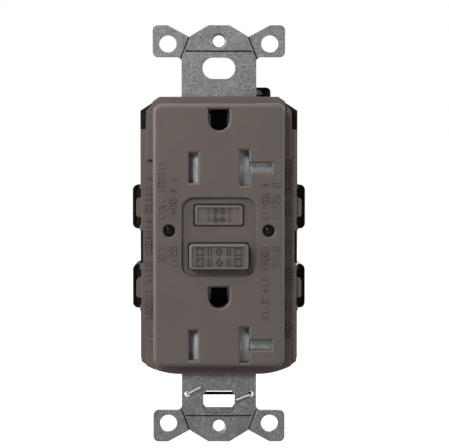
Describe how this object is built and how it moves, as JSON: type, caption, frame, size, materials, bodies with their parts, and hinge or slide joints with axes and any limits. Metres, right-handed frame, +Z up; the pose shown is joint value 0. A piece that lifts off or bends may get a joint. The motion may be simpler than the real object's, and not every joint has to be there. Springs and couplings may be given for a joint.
{
  "type": "gfci outlet",
  "caption": "Brown ground-fault outlet with two tamper-resistant T-slot outlets, test and reset buttons, metal mounting strap and black rear housing.",
  "frame": {"origin": "centre of the mounting screw pattern, on the rear face of the mounting strap", "axes": "+Z up along the strap, +X to the viewer's right, front looks along -Y"},
  "size_m": [0.044, 0.0355, 0.1046],
  "materials": {
    "cover": "satin brown thermoplastic",
    "black_plastic": "satin",
    "carrier_plastic": "matte",
    "button": "satin",
    "galvanised": "spangled zinc",
    "steel": "plain",
    "spring_steel": "drawn wire",
    "green_screw": "green passivated",
    "brass": "plain",
    "nickel": "nickel plated",
    "shutter": "translucent grey",
    "shutter_base": "grey",
    "lens": "dark red-brown, clear",
    "lamp": "clear",
    "copper": "enamelled copper",
    "bobbin": "natural nylon",
    "ferrite": "sintered",
    "board": "solder mask",
    "capacitor": "yellow",
    "varistor": "blue epoxy",
    "chip": "moulded",
    "resistor": "beige"
  },
  "bodies": {
    "device": {"front_cover": "cover", "mounting_strap": "galvanised", "self_earthing_wire": "spring_steel", "middle_housing": "carrier_plastic", "rear_housing": "black_plastic", "assembly_screws": "steel", "earth_contact_top": "nickel", "earth_contact_bottom": "nickel", "earth_guides": "black_plastic", "earth_rivets": "steel", "reset_spring": "spring_steel", "test_leaf": "brass", "solenoid_frame": "steel", "solenoid_bobbin": "bobbin", "solenoid_coil": "copper", "plunger_spring": "spring_steel", "circuit_board": "board", "sense_core_front": "ferrite", "sense_core_rear": "ferrite", "core_case": "chip", "film_capacitor": "capacitor", "varistor": "varistor", "control_chip": "chip", "thyristor": "chip", "resistors": "resistor", "indicator_lamps": "lamp", "indicator_lenses": "lens", "load_hot_contact": "brass", "load_neutral_contact": "nickel", "line_hot_conductor": "brass", "line_neutral_conductor": "nickel", "terminal_plates": "brass", "shutter_base_top": "shutter_base", "shutter_base_bottom": "shutter_base", "shutter_springs": "spring_steel"},
    "test_button": {"test_button": "button"},
    "reset_button": {"reset_button": "button", "reset_pin": "steel"},
    "lifter": {"lifter": "bobbin"},
    "latch": {"latch_slide": "steel"},
    "plunger": {"solenoid_plunger": "steel"},
    "earth_screw": {"earth_screw": "green_screw"},
    "line_hot_screw": {"line_hot_screw": "brass"},
    "line_hot_clamp": {"line_hot_clamp": "steel"},
    "line_neutral_screw": {"line_neutral_screw": "nickel"},
    "line_neutral_clamp": {"line_neutral_clamp": "steel"},
    "load_hot_screw": {"load_hot_screw": "brass"},
    "load_hot_clamp": {"load_hot_clamp": "steel"},
    "load_neutral_screw": {"load_neutral_screw": "nickel"},
    "load_neutral_clamp": {"load_neutral_clamp": "steel"},
    "hot_shutter_top": {"hot_shutter_top": "shutter"},
    "neutral_shutter_top": {"neutral_shutter_top": "shutter"},
    "arm_shutter_top": {"arm_shutter_top": "shutter"},
    "hot_shutter_bottom": {"hot_shutter_bottom": "shutter"},
    "neutral_shutter_bottom": {"neutral_shutter_bottom": "shutter"},
    "arm_shutter_bottom": {"arm_shutter_bottom": "shutter"}
  },
  "joints": [
    {"name": "reset_press", "type": "slide", "parent": "device", "child": "reset_button", "axis": [0, 1, 0], "range_m": [0, 0.0025], "stiffness_N_per_m": 600, "deforming": ["reset_spring"]},
    {"name": "test_press", "type": "slide", "parent": "device", "child": "test_button", "axis": [0, 1, 0], "range_m": [0, 0.001], "stiffness_N_per_m": 900, "deforming": ["test_leaf"]},
    {"name": "lifter_close", "type": "slide", "parent": "device", "child": "lifter", "axis": [0, -1, 0], "range_m": [0, 0.001], "stiffness_N_per_m": 400, "deforming": ["line_hot_conductor", "line_neutral_conductor"]},
    {"name": "latch_release", "type": "slide", "parent": "lifter", "child": "latch", "axis": [0, 0, 1], "range_m": [0, 0.001], "stiffness_N_per_m": 300},
    {"name": "plunger_strike", "type": "slide", "parent": "device", "child": "plunger", "axis": [0, 0, 1], "range_m": [0, 0.001], "stiffness_N_per_m": 300, "deforming": ["plunger_spring"]},
    {"name": "earth_screw_turn_out", "type": "slide", "parent": "device", "child": "earth_screw", "axis": [1, 0, 0], "range_m": [-0.0018, 0.001]},
    {"name": "line_hot_screw_turn_out", "type": "slide", "parent": "device", "child": "line_hot_screw", "axis": [-1, 0, 0], "range_m": [-0.0005, 0.0012]},
    {"name": "line_hot_clamp_slide", "type": "slide", "parent": "device", "child": "line_hot_clamp", "axis": [-1, 0, 0], "range_m": [-0.0014, 0.0008]},
    {"name": "line_neutral_screw_turn_out", "type": "slide", "parent": "device", "child": "line_neutral_screw", "axis": [1, 0, 0], "range_m": [-0.0005, 0.0012]},
    {"name": "line_neutral_clamp_slide", "type": "slide", "parent": "device", "child": "line_neutral_clamp", "axis": [1, 0, 0], "range_m": [-0.0014, 0.0008]},
    {"name": "load_hot_screw_turn_out", "type": "slide", "parent": "device", "child": "load_hot_screw", "axis": [-1, 0, 0], "range_m": [-0.0005, 0.0012]},
    {"name": "load_hot_clamp_slide", "type": "slide", "parent": "device", "child": "load_hot_clamp", "axis": [-1, 0, 0], "range_m": [-0.0014, 0.0008]},
    {"name": "load_neutral_screw_turn_out", "type": "slide", "parent": "device", "child": "load_neutral_screw", "axis": [1, 0, 0], "range_m": [-0.0005, 0.0012]},
    {"name": "load_neutral_clamp_slide", "type": "slide", "parent": "device", "child": "load_neutral_clamp", "axis": [1, 0, 0], "range_m": [-0.0014, 0.0008]},
    {"name": "neutral_shutter_top_slide", "type": "slide", "parent": "device", "child": "neutral_shutter_top", "axis": [-1, 0, 0], "range_m": [0, 0.0026], "stiffness_N_per_m": 60, "deforming": ["shutter_springs"]},
    {"name": "hot_shutter_top_slide", "type": "slide", "parent": "device", "child": "hot_shutter_top", "axis": [1, 0, 0], "range_m": [0, 0.0026], "stiffness_N_per_m": 60, "deforming": ["shutter_springs"]},
    {"name": "arm_shutter_top_slide", "type": "slide", "parent": "device", "child": "arm_shutter_top", "axis": [0, 0, 1], "range_m": [0, 0.0026], "stiffness_N_per_m": 60, "deforming": ["shutter_springs"]},
    {"name": "neutral_shutter_bottom_slide", "type": "slide", "parent": "device", "child": "neutral_shutter_bottom", "axis": [-1, 0, 0], "range_m": [0, 0.0026], "stiffness_N_per_m": 60, "deforming": ["shutter_springs"]},
    {"name": "hot_shutter_bottom_slide", "type": "slide", "parent": "device", "child": "hot_shutter_bottom", "axis": [1, 0, 0], "range_m": [0, 0.0026], "stiffness_N_per_m": 60, "deforming": ["shutter_springs"]},
    {"name": "arm_shutter_bottom_slide", "type": "slide", "parent": "device", "child": "arm_shutter_bottom", "axis": [0, 0, 1], "range_m": [0, 0.0026], "stiffness_N_per_m": 60, "deforming": ["shutter_springs"]}
  ],
  "couplings": [
    {"joint": "hot_shutter_top_slide", "follows": "neutral_shutter_top_slide", "ratio": 1},
    {"joint": "hot_shutter_bottom_slide", "follows": "neutral_shutter_bottom_slide", "ratio": 1},
    {"joint": "latch_release", "follows": "plunger_strike", "ratio": 1}
  ]
}
